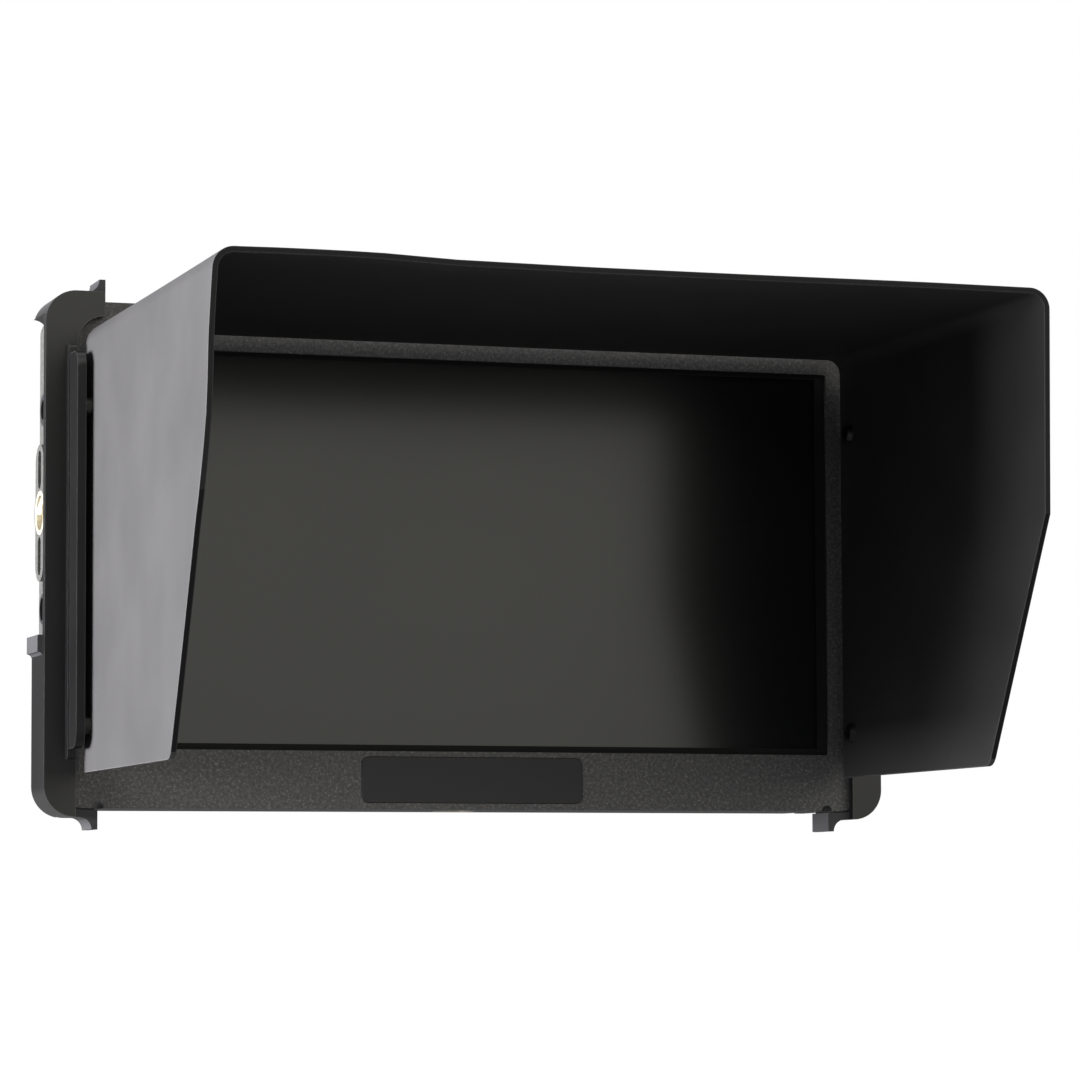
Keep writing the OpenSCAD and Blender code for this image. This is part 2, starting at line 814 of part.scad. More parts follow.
// Frame of the rotary encoder, with a bearing each side of the dial
module dial_frame() {
  cheek_y = dial_w / 2 + cheek_gap;
  color("#8f9194") difference() {
    union() {
      block(dial_x, ctrl_y - cheek_y - cheek_t, dial_low, 6, 2 * (cheek_y + cheek_t), dial_floor_t);
      for (y = [-cheek_y - cheek_t, cheek_y])
        block(dial_x, ctrl_y + y, dial_low, 6, cheek_t, dial_z - dial_low + axle_r + 0.4);
    }
    pin_y(dial_x, ctrl_y - 2 * cheek_y, dial_z, axle_r + axle_clear, 4 * cheek_y);
  }
}

// Base with broken side rails and the block that carries the contacts
module battery_plate() {
  notch = 8;
  seg = (rail_len - 4 - 2 * notch) / 3;
  color("#1b1b1d") difference() {
    union() {
      translate([0, 0, rail_z]) deep(base_y, base_t) round_rect(base_w, rail_len, 3);
      for (sx = [-1, 1], i = [0:2])
        translate([0, 0, rail_z + 2 + i * (seg + notch)]) {
          block(sx * (rail_gap + rail_t) / 2, rail_y - eps, 0, rail_t, rail_h + eps, seg);
          block(sx * (rail_gap / 2 - rail_lip / 2 + eps), rail_y + rail_h - rail_lip_t, 0,
            rail_lip + 2 * eps, rail_lip_t, seg);
        }
      block(0, rail_y - eps, rail_z + 1, block_w, block_d + eps, block_h);
    }
    for (p = battery_screw_at) {
      pin_y(p[0], base_y - cut, p[1], m2_hole, base_t + 2 * cut);
      pin_y(p[0], rail_y - m2_head_t - m2_seat, p[1], m2_head_r + 2 * m2_seat, m2_head_t + cut);
    }
    block(0, base_y - cut, latch_z - latch_h / 2 - latch_gap,
      latch_w + 2 * latch_gap, base_t + 2 * cut, latch_h + 2 * latch_gap);
    // Slots in which the blades stand
    for (i = [-1:1])
      block(i * blade_pitch, blade_y - blade_slot, rail_z + 1 + block_h - blade_in,
        blade_t + 2 * blade_slot, block_d, blade_in + cut);
  }
}

module battery_screws() {
  color("#3a3a3c") for (p = battery_screw_at) {
    pin_y(p[0], rail_y - m2_head_t, p[1], m2_head_r, m2_head_t - m2_seat);
    pin_y(p[0], inner_y + 2 * m2_seat, p[1], m2_r,
      rail_y - m2_head_t - inner_y - 2 * m2_seat + eps);
  }
}

// Spring blades, standing in the slots of the block
module battery_contacts() {
  color("#d8b25a") for (i = [-1:1])
    block(i * blade_pitch, blade_y, rail_z + 1 + block_h - blade_in,
      blade_t, blade_w, blade_h);
}

// Sprung catch behind the upper edge of the battery, bevelled on the side the battery comes from
module battery_latch() {
  tooth = latch_travel + 0.1;
  color("#242426") {
    difference() {
      block(0, latch_y + latch_flange_t - eps, latch_z - latch_h / 2,
        latch_w, rail_y + tooth - latch_y - latch_flange_t + eps, latch_h);
      wide(-latch_w, 2 * latch_w)
        polygon([
          [rail_y, latch_z + latch_h / 2 + eps],
          [rail_y + tooth + eps, latch_z + latch_h / 2 + eps],
          [rail_y + tooth + eps, latch_z]
        ]);
    }
    block(0, latch_y, latch_z - latch_h / 2 - latch_flange,
      latch_w + 2 * latch_flange, latch_flange_t, latch_h + 2 * latch_flange);
  }
}

// Front view of a whole bracket frame, before it is cut to one side
module bracket_outside() {
  translate([0, bracket_low]) round_rect(2 * bracket_x, bracket_h, bracket_r);
}

module body_hole() {
  translate([0, -fit_gap])
    round_rect(body_w + 2 * fit_gap, body_h + 2 * fit_gap, corner_r + fit_gap);
}

// Left part of the frame out to x, between two heights
module left_part(x, z0, z1) {
  intersection() {
    children();
    translate([-bracket_x - cut, z0]) square([bracket_x + cut - x, z1 - z0]);
  }
}

// Front plate: a strip with a shoulder at the top that clears the hood's bend
module front_plate_shape() {
  left_part(rail_x, bracket_low - cut, bracket_top + cut) bracket_outside();
  left_part(bracket_x - shoulder_in, bracket_top - shoulder_h, bracket_top + cut) bracket_outside();
  difference() {
    translate([-rail_x - eps, bracket_top - shoulder_h - shoulder_r])
      square([shoulder_r + eps, shoulder_r + eps]);
    translate([-rail_x + shoulder_r, bracket_top - shoulder_h - shoulder_r]) circle(shoulder_r);
  }
}

// Finger tab at the end of a lip, with a hollow curve on its outer side
module tab_shape(x_end, reach, t) {
  translate([x_end - t, -eps]) square([t, reach + eps]);
  difference() {
    translate([x_end - t - reach, -eps]) square([reach + eps, reach + eps]);
    translate([x_end - t - reach, reach]) circle(reach);
  }
}

// End of a side wall: a hollow ramp down to the monitor's side
module wall_end() {
  translate([-half_w - fit_gap, 0]) tab_shape(0, side_t - ramp_t, ramp_t);
}

// Finger grip that stands out of the side wall, above a hollow curve
module wall_grip() {
  translate([-bracket_x, 0]) rotate(90) tab_shape(0, flare, flare_h);
}

module bracket() {
  deep(plate_y, front_t) front_plate_shape();
  // Side walls, which end at the cut-out for the ports
  deep(plate_y + front_t - eps, side_len + eps) {
    left_part(half_w - 1, bracket_low - cut, side_h) frame_band();
    translate([0, side_h]) {
      wall_end();
      wall_grip();
    }
    left_part(half_w - 1, bracket_top - side_top_h, bracket_top + cut) frame_band();
    translate([0, bracket_top - side_top_h]) mirror([0, 1]) wall_end();
  }
  // Lips over the underside and the top
  deep(plate_y + front_t - eps, lip_len + eps) {
    left_part(bracket_x - lip_low_in, bracket_low - cut, 0) frame_band();
    left_part(bracket_x - lip_top_in, body_h, bracket_top + cut) frame_band();
    translate([-bracket_x, bracket_low]) mirror([0, 1]) tab_shape(lip_low_in, tab_low, tab_t);
    translate([-bracket_x, bracket_top]) tab_shape(lip_top_in, tab_top, tab_t);
  }
  // Rail for the hood, with a shallow foot along its root
  difference() {
    union() {
      wide(-rail_x - rib_t, rib_t) rib_shape(rib_len, rib_r, 0);
      wide(-rail_x - rib_t - foot_side, rib_t) rib_shape(foot_len, foot_len / 2, foot_lap);
    }
    for (z = [screw_low_z, screw_top_z])
      pin_x(-rail_x - screw_grip - 0.1, screw_y, z, screw_r + slack, 4);
  }
}

module frame_band() {
  difference() {
    bracket_outside();
    body_hole();
  }
}

// Side view of the rail: square at the plate, round at its two free corners
module rib_shape(reach, r, extra) {
  z0 = rib_low - extra;
  z1 = rib_top + extra;
  translate([plate_y - reach + r, z0]) square([reach - r + eps, z1 - z0]);
  translate([plate_y - reach, z0 + r]) square([reach, z1 - z0 - 2 * r]);
  for (z = [z0 + r, z1 - r]) translate([plate_y - reach + r, z]) circle(r);
}

module left_bracket() {
  color("#232325") bracket();
}

module right_bracket() {
  color("#232325") mirror([1, 0, 0]) bracket();
}

// Side view of the hood: level below, slanted up to the turn, upright at the front
module hood_side() {
  low = [hood_back - hood_low_len, hood_z];
  turn = [hood_front + kink_in, kink_z];
  slope = atan2(turn[1] - low[1], low[0] - turn[0]);
  r = hood_corner_r;
  middle = low + [r * tan(slope / 2), r];
  difference() {
    polygon([
      [hood_back, hood_z], low, turn,
      [hood_front, hood_top + hood_rise + 4], [hood_back, hood_top + 4]
    ]);
    difference() {
      polygon([
        middle, [middle[0], hood_z - cut], low + [-cut - r, -cut],
        middle - (r + cut) * [sin(slope), cos(slope)]
      ]);
      translate(middle) circle(r);
    }
  }
}

// One bent sheet: top panel and two side panels, leaning up towards the front
module sun_hood() {
  tall = hood_top + 20;
  color("#3a393c") difference() {
    intersection() {
      translate([0, hood_back + 5, hood_top]) rotate([-lean, 0, 0]) translate([0, 0, -tall])
        deep(-hood_len - 15, hood_len + 20) difference() {
          round_rect(2 * hood_x, tall, bend_r);
          translate([0, -cut]) round_rect(2 * (hood_x - hood_t), tall + cut - hood_t, bend_r - hood_t);
        }
      wide(-hood_x - cut, 2 * (hood_x + cut)) hood_side();
    }
    for (z = [screw_low_z, screw_top_z])
      pin_x(-bracket_x, screw_y, z, screw_r + slack, 2 * bracket_x);
  }
}

// A piece on the left and its twin on the right, at both screw heights
module at_hood_screws() {
  for (sx = [0, 1], z = [screw_low_z, screw_top_z])
    mirror([sx, 0, 0]) translate([0, screw_y, z]) rotate([0, 90, 0]) children();
}

module hood_screws() {
  head_x = -hood_x + hood_t + slack;
  color("#5c5d60") at_hood_screws() {
    difference() {
      translate([0, 0, head_x]) cylinder(r1 = screw_head_r, r2 = screw_head_r - 0.4, h = screw_head_t);
      for (a = [0, 90])
        rotate(a) translate([-1.1, -0.2, head_x + screw_head_t - 0.5]) cube([2.2, 0.4, 1]);
    }
    translate([0, 0, -rail_x - screw_grip]) cylinder(r = screw_r, h = rail_x + screw_grip + head_x + eps);
  }
}

module hood_washers() {
  color("#b4b5b8") at_hood_screws() difference() {
    translate([0, 0, -rail_x + slack]) cylinder(r = washer_r, h = washer_t - 2 * slack);
    translate([0, 0, -rail_x - cut]) cylinder(r = screw_r + slack, h = washer_t + 2 * cut);
  }
}

front_bezel();
rear_housing();
cover_glass();
lcd_panel();
backlight();
panel_tray();
name_plate();
main_board();
board_screws();
heat_spreader();
key_board();
housing_screws();
tripod_insert();
side_insert();
side_pad();
headphone_jack();
power_jack();
video_in_socket();
video_out_socket();
usb_socket();
power_button();
key_1();
key_2();
key_3();
key_4();
menu_dial();
dial_frame();
battery_plate();
battery_screws();
battery_contacts();
battery_latch();
left_bracket();
right_bracket();
sun_hood();
hood_screws();
hood_washers();
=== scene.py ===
"""Looks of a camera field monitor with a detachable sun hood, built round its fixed frame."""

import json
import math

import bmesh
import bpy
from mathutils import Matrix, Vector


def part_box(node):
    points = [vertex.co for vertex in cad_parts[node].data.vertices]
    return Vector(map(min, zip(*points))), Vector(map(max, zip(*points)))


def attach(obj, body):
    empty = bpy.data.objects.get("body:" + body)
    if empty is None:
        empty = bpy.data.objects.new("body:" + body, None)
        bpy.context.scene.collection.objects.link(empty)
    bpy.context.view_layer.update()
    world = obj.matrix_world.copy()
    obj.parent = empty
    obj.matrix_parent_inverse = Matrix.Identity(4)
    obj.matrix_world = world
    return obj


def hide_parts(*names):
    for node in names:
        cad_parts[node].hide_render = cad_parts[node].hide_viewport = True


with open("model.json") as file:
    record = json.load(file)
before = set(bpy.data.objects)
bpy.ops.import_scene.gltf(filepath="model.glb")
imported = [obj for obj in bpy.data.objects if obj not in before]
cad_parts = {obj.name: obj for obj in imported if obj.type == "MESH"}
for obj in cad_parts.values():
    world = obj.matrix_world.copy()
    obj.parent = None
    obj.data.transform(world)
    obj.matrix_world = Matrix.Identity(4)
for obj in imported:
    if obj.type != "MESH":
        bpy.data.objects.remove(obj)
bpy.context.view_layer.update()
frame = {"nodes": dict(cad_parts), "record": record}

MM = 0.001
ACROSS, BACK, UP = Vector((1, 0, 0)), Vector((0, 1, 0)), Vector((0, 0, 1))
record = frame["record"]
BODY_OF = {n: body for body, nodes in record["behaviour"]["bodies"].items() for n in nodes}
MOUNT = {m["name"]: Vector(m["pos_m"]) for m in record["mounts"]}
SLOT_OF = {s["node"]: s["material_slot"] for s in record["subparts"]}


# ---------------------------------------------------------------- node helpers


def linear(hex_code):
    """sRGB hex colour as a linear RGBA tuple."""
    parts = [int(hex_code[i : i + 2], 16) / 255 for i in (1, 3, 5)]
    return (*[c / 12.92 if c <= 0.04045 else ((c + 0.055) / 1.055) ** 2.4 for c in parts], 1.0)


def add(tree, kind, settings=None, **links):
    """Adds a node. Settings are its own properties; links are socket values or (node, output)."""
    made = tree.nodes.new("ShaderNode" + kind)
    for key, value in (settings or {}).items():
        setattr(made, key, value)
    for key, value in links.items():
        # _0, _1 and so on stand for a socket's number, other names for the socket's own
        number = key[1:]
        socket = made.inputs[int(number) if number.isdigit() else key.replace("_", " ")]
        if isinstance(value, tuple) and len(value) == 2 and isinstance(value[0], bpy.types.Node):
            tree.links.new(value[0].outputs[value[1]], socket)
        else:
            socket.default_value = value
    return made


def new_material(name):
    """A material with an empty tree but for its output and principled shader."""
    made = bpy.data.materials.new(name)
    made.use_nodes = True
    tree = made.node_tree
    tree.nodes.clear()
    shader = add(tree, "BsdfPrincipled")
    add(tree, "OutputMaterial", Surface=(shader, "BSDF"))
    return made, tree, shader


def per_metre(size_mm):
    """Scale of a pattern on object coordinates whose grains are this far apart."""
    return 1 / (size_mm * MM)


def ramp(tree, source, stops):
    """Colour ramp with (place, colour) stops, read from a source socket."""
    made = add(tree, "ValToRGB", Fac=source)
    while len(made.color_ramp.elements) < len(stops):
        made.color_ramp.elements.new(0.5)
    for element, (place, colour) in zip(made.color_ramp.elements, stops):
        element.position = place
        element.color = colour
    return made


# ------------------------------------------------------------------- materials

# How far in from an edge the painted edge highlight reaches
HIGHLIGHT_EDGE = 0.3 * MM
# Printed black border of the cover glass, measured in from the edge of the display
BORDER = 1.5 * MM
# Powder coat: width of its orange peel, distance of its flecks and size of the patches in which
# they gather. Real flecks are nearer 0.1 mm and are drawn coarser, so that they show.
PEEL_MM, FLECK_MM, PATCH_MM = 0.6, 0.25, 0.6


def grained(
    name, dark, light, grain_mm, roughness, bump_mm, edge_highlight=None, blotch_mm=18.0, sheen=0.5
):
    """A painted, moulded or blasted surface: fine grain, faint blotches, and a painted highlight
    lightening its edges.
    """
    made, tree, shader = new_material(name)
    place = add(tree, "TexCoord")
    grain = add(
        tree, "TexNoise", Vector=(place, "Object"), Scale=per_metre(grain_mm), Detail=2.0
    )
    blotch = add(
        tree, "TexNoise", Vector=(place, "Object"), Scale=per_metre(blotch_mm), Detail=3.0
    )
    tone = ramp(tree, (blotch, "Fac"), [(0.3, linear(dark)), (0.7, linear(light))])
    rough = add(
        tree, "MapRange",
        Value=(blotch, "Fac"), To_Min=roughness - 0.04, To_Max=roughness + 0.04,
    )
    bump = add(tree, "Bump", Height=(grain, "Fac"), Strength=1.0, Distance=bump_mm * MM)
    colour = tone.outputs["Color"]
    if edge_highlight:
        # Where the rounded and the true normal part, an edge is near; there the base is mixed
        # towards a lighter tone, broken up by the grain: a painted highlight along the edge
        soft = add(tree, "Bevel", {"samples": 4}, Radius=HIGHLIGHT_EDGE)
        true = add(tree, "NewGeometry")
        facing = add(
            tree, "VectorMath", {"operation": "DOT_PRODUCT"},
            _0=(soft, "Normal"), _1=(true, "Normal"),
        )
        edge = add(tree, "MapRange", Value=(facing, "Value"), From_Min=0.99, From_Max=0.86)
        highlight_break = add(tree, "MapRange", Value=(grain, "Fac"), From_Min=0.0, From_Max=0.45)
        share = add(
            tree, "Math", {"operation": "MULTIPLY"}, _0=(edge, "Result"), _1=(highlight_break, "Result")
        )
        colour = add(
            tree, "Mix", {"data_type": "RGBA"},
            _0=(share, "Value"), _6=(tone, "Color"), _7=linear(edge_highlight),
        ).outputs[2]
    tree.links.new(colour, shader.inputs["Base Color"])
    tree.links.new(rough.outputs["Result"], shader.inputs["Roughness"])
    tree.links.new(bump.outputs["Normal"], shader.inputs["Normal"])
    shader.inputs["Specular IOR Level"].default_value = sheen
    return made


def powder_coat(name, dark, light, fleck):
    """Speckled powder coat, baked on aluminium: a coarse orange peel with bright flecks."""
    made, tree, shader = new_material(name)
    place = add(tree, "TexCoord")
    peel = add(tree, "TexNoise", Vector=(place, "Object"), Scale=per_metre(PEEL_MM), Detail=3.0)
    cells = add(tree, "TexVoronoi", Vector=(place, "Object"), Scale=per_metre(FLECK_MM))
    patches = add(
        tree, "TexNoise", Vector=(place, "Object"), Scale=per_metre(PATCH_MM), Detail=2.0
    )
    near = add(tree, "MapRange", Value=(cells, "Distance"), From_Min=0.34, From_Max=0.18)
    chosen = add(tree, "MapRange", Value=(patches, "Fac"), From_Min=0.44, From_Max=0.62)
    glint = add(
        tree, "Math", {"operation": "MULTIPLY"}, _0=(near, "Result"), _1=(chosen, "Result")
    )
    tone = ramp(tree, (peel, "Fac"), [(0.3, linear(dark)), (0.72, linear(light))])
    colour = add(
        tree, "Mix", {"data_type": "RGBA"},
        _0=(glint, "Value"), _6=(tone, "Color"), _7=linear(fleck),
    )
    rough = add(tree, "MapRange", Value=(glint, "Value"), To_Min=0.56, To_Max=0.36)
    bump = add(tree, "Bump", Height=(peel, "Fac"), Strength=1.0, Distance=0.06 * MM)
    tree.links.new(colour.outputs[2], shader.inputs["Base Color"])
    tree.links.new(rough.outputs["Result"], shader.inputs["Roughness"])
    tree.links.new(bump.outputs["Normal"], shader.inputs["Normal"])
    return made


def cover_glass_material(middle, half_w, half_h):
    """Toughened glass bonded to a dark display: printed black border, a clear hard shine."""
    made, tree, shader = new_material("cover_glass_bonded")
    place = add(tree, "TexCoord")
    apart = add(tree, "SeparateXYZ", Vector=(place, "Object"))
    sides = []
    for axis, centre, reach in (("X", middle.x, half_w), ("Z", middle.z, half_h)):
        off = add(tree, "Math", {"operation": "SUBTRACT"}, _0=(apart, axis), _1=centre)
        size = add(tree, "Math", {"operation": "ABSOLUTE"}, _0=(off, "Value"))
        sides.append(add(tree, "Math", {"operation": "LESS_THAN"}, _0=(size, "Value"), _1=reach))
    inside = add(
        tree, "Math", {"operation": "MULTIPLY"}, _0=(sides[0], "Value"), _1=(sides[1], "Value")
    )
    colour = add(
        tree, "Mix", {"data_type": "RGBA"},
        _0=(inside, "Value"), _6=linear("#08080a"), _7=linear("#0f1012"),
    )
    haze = add(tree, "TexNoise", Vector=(place, "Object"), Scale=per_metre(30), Detail=2.0)
    rough = add(tree, "MapRange", Value=(haze, "Fac"), To_Min=0.17, To_Max=0.21)
    tree.links.new(colour.outputs[2], shader.inputs["Base Color"])
    tree.links.new(rough.outputs["Result"], shader.inputs["Roughness"])
    shader.inputs["IOR"].default_value = 1.52
    return made


def metal(name, dark, light, roughness, scratch_mm, bare=1.0):
    """Bare or plated metal with fine machining marks, dulled by oxide where bare is below one."""
    made, tree, shader = new_material(name)
    place = add(tree, "TexCoord")
    marks = add(
        tree, "TexNoise", Vector=(place, "Object"), Scale=per_metre(scratch_mm), Detail=4.0
    )
    rough = add(
        tree, "MapRange",
        Value=(marks, "Fac"), To_Min=roughness - 0.08, To_Max=roughness + 0.1,
    )
    bump = add(tree, "Bump", Height=(marks, "Fac"), Strength=1.0, Distance=0.01 * MM)
    tone = ramp(tree, (marks, "Fac"), [(0.3, linear(dark)), (0.7, linear(light))])
    tree.links.new(tone.outputs["Color"], shader.inputs["Base Color"])
    tree.links.new(rough.outputs["Result"], shader.inputs["Roughness"])
    tree.links.new(bump.outputs["Normal"], shader.inputs["Normal"])
    shader.inputs["Metallic"].default_value = bare
    return made


def circuit_board():
    """Etched glass-fibre board under green solder resist: copper tracks show paler through it."""
    made, tree, shader = new_material("circuit_board")
    place = add(tree, "TexCoord")
    tracks = add(
        tree, "TexBrick", Vector=(place, "Object"), Scale=per_metre(9),
        Color1=linear("#14532f"), Color2=linear("#1a6238"), Mortar=linear("#2c7d49"),
    )
    tree.links.new(tracks.outputs["Color"], shader.inputs["Base Color"])
    shader.inputs["Roughness"].default_value = 0.35
    return made


glass_low, glass_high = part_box("cover_glass")
panel_low, panel_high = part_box("lcd_panel")
# Grain and scratches are in millimetres. Real moulded, lacquered and drawn surfaces have marks of
# about 0.05 to 0.1 mm, which are drawn 0.25 mm wide or more so that they show.
MATERIALS = {
    # Powder baked on the cast front frame: coarse peel with silvery flecks
    "powder_coat": powder_coat("powder_coat_speckled", "#3c3b3d", "#575658", "#94928e"),
    # The same powder on the rear shell, a little more even in tone
    "housing": powder_coat("powder_coat_rear", "#434343", "#545452", "#84827c"),
    # The rear shell's powder on the raised pad at its side
    "pad": powder_coat("powder_coat_pad", "#434343", "#545452", "#84827c"),
    "screen_glass": cover_glass_material(
        (glass_low + glass_high) / 2,
        (panel_high.x - panel_low.x) / 2 - BORDER,
        (panel_high.z - panel_low.z) / 2 - BORDER,
    ),
    # Polariser film of a display that is off: near black, half glossy
    "panel": grained("display_polariser", "#0b0c0f", "#101216", 0.8, 0.3, 0.0),
    # Frosted polyester sheet: white and even
    "light_guide": grained("diffuser_sheet", "#d9d9d4", "#e6e6e2", 0.8, 0.5, 0.01),
    # Pressed steel sheet, nickel plated: warm grey with a soft shine
    "steel": metal("steel_sheet_nickel_plated", "#8d8d88", "#a3a39c", 0.38, 0.6),
    # Satin lacquer on a stamped plate, smoother than the frame round it
    "plate": grained(
        "name_plate_satin_lacquer", "#1e1c21", "#232126", 0.25, 0.5, 0.004, sheen=0.4
    ),
    "board": circuit_board(),
    # Extruded aluminium, left bare: pale, with fine draw marks
    "bare_aluminium": metal("aluminium_extruded", "#aeb0b4", "#bfc1c4", 0.4, 0.5),
    # Machined steel in black oxide: dark, still with a metal's sheen
    "black_screw": metal("steel_black_oxide", "#2c2c2e", "#434346", 0.42, 0.3),
    # Turned stainless steel: bright, a little warm
    "insert": metal("stainless_steel_turned", "#cfc8b4", "#e2dccb", 0.42, 0.25, bare=0.65),
    # Moulded glass-filled nylon: matte black
    "jack_plastic": grained("nylon_glass_filled", "#1d1d1f", "#252528", 0.4, 0.5, 0.02),
    # Drawn steel shell, tinned: bright and smooth
    "socket_shell": metal("steel_tinned", "#a9aaac", "#bcbdbf", 0.3, 0.4),
    # Moulded polycarbonate: black with a satin shine
    "key_plastic": grained("polycarbonate_satin", "#161618", "#1c1c1f", 0.3, 0.36, 0.008),
    # Gold plated bronze: a warm yellow shine
    "contact": metal("bronze_gold_plated", "#cfa653", "#e0ba66", 0.25, 0.4),
    # Moulded ABS with a fine spark-eroded texture: deep black, satin, with a grey painted
    # highlight along its edges
    "bracket": grained(
        "abs_moulded_satin", "#080809", "#0b0b0c", 0.35, 0.32, 0.006, edge_highlight="#444448"
    ),
    # Fine matte coat on bent aluminium sheet: dark grey, even, with a lighter painted highlight
    # along its edges
    "hood_sheet": grained(
        "aluminium_sheet_matte_coat", "#39383a", "#3f3e40", 0.4, 0.56, 0.02, edge_highlight="#6c6b6e"
    ),
}
# Anti-glare black inside the hood, duller than the coat outside; its edges get a painted highlight
hood_inside = grained(
    "anti_glare_black_coat", "#212122", "#272728", 0.4, 0.62, 0.02, edge_highlight="#5a5a5e", sheen=0.4
)
# Cut edge of the sheet, where the coat is thick and black; its edges get a painted highlight, a
# thin light line
hood_rim = grained(
    "cut_edge_black_coat", "#0b0a0d", "#0f0e12", 0.4, 0.55, 0.01, edge_highlight="#4c4b50", sheen=0.25
)
# Spark-eroded texture on the brackets' finger grips, rougher than the rest; its greyer base is
# partly painted light, standing in for the light these outer faces catch
grip_texture_painted_light = grained(
    "abs_textured_grip_painted_lighter", "#38383b", "#424245", 0.5, 0.72, 0.04, sheen=0.3
)
# Plain steel blackened in oil: dark, slightly brown, half dull
washer_steel = metal("steel_oil_blackened", "#3a3a38", "#50504c", 0.45, 0.4)
# Die-cut closed-cell foam: deep black without shine
gasket_foam = grained("closed_cell_foam_black", "#060607", "#0a0a0b", 0.25, 0.9, 0.02)
# Moulded silicone rubber: dull black
grip_rubber = grained("silicone_rubber_black", "#08080a", "#0c0c0e", 0.3, 0.7, 0.01)


# ------------------------------------------------------------------ mesh helpers


def finish_mesh(bm, name, body, materials, smooth_deg=35):
    """Turns a bmesh into a piece that rides on a body."""
    data = bpy.data.meshes.new(name)
    bm.to_mesh(data)
    bm.free()
    for material in materials:
        data.materials.append(material)
    for polygon in data.polygons:
        polygon.use_smooth = True
    data.set_sharp_from_angle(angle=math.radians(smooth_deg))
    piece = bpy.data.objects.new(name, data)
    bpy.context.scene.collection.objects.link(piece)
    # Large flat faces keep flat shading up to their rounded edges
    flat = piece.modifiers.new("flat_faces", "WEIGHTED_NORMAL")
    flat.keep_sharp = True
    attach(piece, body)
    return piece


def round_edges(bm, edge_mm, corner_deg=28, segments=2):
    """Rounds every edge that is sharper than corner_deg."""
    sharp = [
        e for e in bm.edges
        if len(e.link_faces) == 2 and e.calc_face_angle(0) > math.radians(corner_deg)
    ]
    bmesh.ops.bevel(
        bm, geom=sharp, offset=edge_mm * MM, offset_type="OFFSET", affect="EDGES",
        segments=segments, profile=0.5, material=-1, clamp_overlap=True,
    )


def cut_through(bm, cuts):
    """Cuts a mesh at planes, each given by its direction and its place along it in millimetres."""
    for direction, place in cuts:
        bmesh.ops.bisect_plane(
            bm, geom=bm.verts[:] + bm.edges[:] + bm.faces[:], dist=1e-6,
            plane_co=direction * place * MM, plane_no=direction,
        )


def rounded_copy(node, edge_mm):
    """Bmesh of a CAD node, merged, with its sharp edges rounded."""
    bm = bmesh.new()
    bm.from_mesh(frame["nodes"][node].data)
    for face in bm.faces:
        face.material_index = 0
    bmesh.ops.remove_doubles(bm, verts=bm.verts, dist=0.002 * MM)
    bmesh.ops.dissolve_limit(
        bm, angle_limit=math.radians(0.5), verts=bm.verts, edges=bm.edges,
        use_dissolve_boundaries=False,
    )
    round_edges(bm, edge_mm)
    return bm


# Nodes whose finger grips are textured and given a lighter base that is partly painted light, and
# where the grips begin, in millimetres
GRIPPED = ("left_bracket", "right_bracket")
GRIP_SIDE = 80.5
GRIP_BELOW, GRIP_ABOVE = -1.7, 92.7


def dress(node, edge_mm):
    """Copy of a CAD node with rounded edges, in the finish of its material slot."""
    slot = SLOT_OF[node]
    bm = rounded_copy(node, edge_mm)
    finishes = [MATERIALS[slot]]
    # Outer faces and tabs take the grip finish, whose lighter base is partly painted light
    if node in GRIPPED:
        finishes.append(grip_texture_painted_light)
        for face in bm.faces:
            place = face.calc_center_median() / MM
            if abs(place.x) > GRIP_SIDE or not GRIP_BELOW < place.z < GRIP_ABOVE:
                face.material_index = 1
    piece = finish_mesh(bm, node + "_shell", BODY_OF[node], finishes)
    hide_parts(node)


def paint(node):
    """Gives a CAD node the finish of its material slot."""
    data = frame["nodes"][node].data
    data.materials.clear()
    data.materials.append(MATERIALS[SLOT_OF[node]])


def box_of(low, high, edge_mm=0.0):
    """Bmesh of a block between two corners in millimetres, its edges rounded."""
    bm = bmesh.new()
    size = [(end - start) * MM for start, end in zip(low, high)]
    centre = [(end + start) / 2 * MM for start, end in zip(low, high)]
    bmesh.ops.create_cube(bm, size=1, matrix=Matrix.LocRotScale(centre, None, size))
    if edge_mm:
        round_edges(bm, edge_mm)
    return bm


def share_of(value):
    """Value held between nought and one."""
    return min(max(value, 0), 1)


def between(value, points):
    """Straight-line value between (place, value) points."""
    if value <= points[0][0]:
        return points[0][1]
    for (a, u), (b, v) in zip(points, points[1:]):
        if value <= b:
            return u + (v - u) * (value - a) / (b - a)
    return points[-1][1]


# ------------------------------------------------------------------------ pieces

# Strips that the hood's sheet is cut into so that it can bow: direction, margins at its two
# ends, and width, in millimetres
HOOD_STRIPS = ((UP, 6, 4, 6), (BACK, 8, 8, 10), (ACROSS, 5, 4, 6))
# Bow of the left side panel, outwards, by height along its front edge
SIDE_BOW = [(6, 0.2), (46, 1.25), (50, 1.15), (56, 0.35), (63, 0.0), (74, -0.15), (86.4, -0.9)]
# Lift of the top panel, by place across its front edge
TOP_LIFT = [
    (-73.3, 0.6), (-69, 0.45), (-64, 0.55), (-52, 0.6), (-42, 0.45), (-34, 0.0),
    (-10, -0.2), (20, -0.15), (50, 0.0), (73.3, -0.1),
]


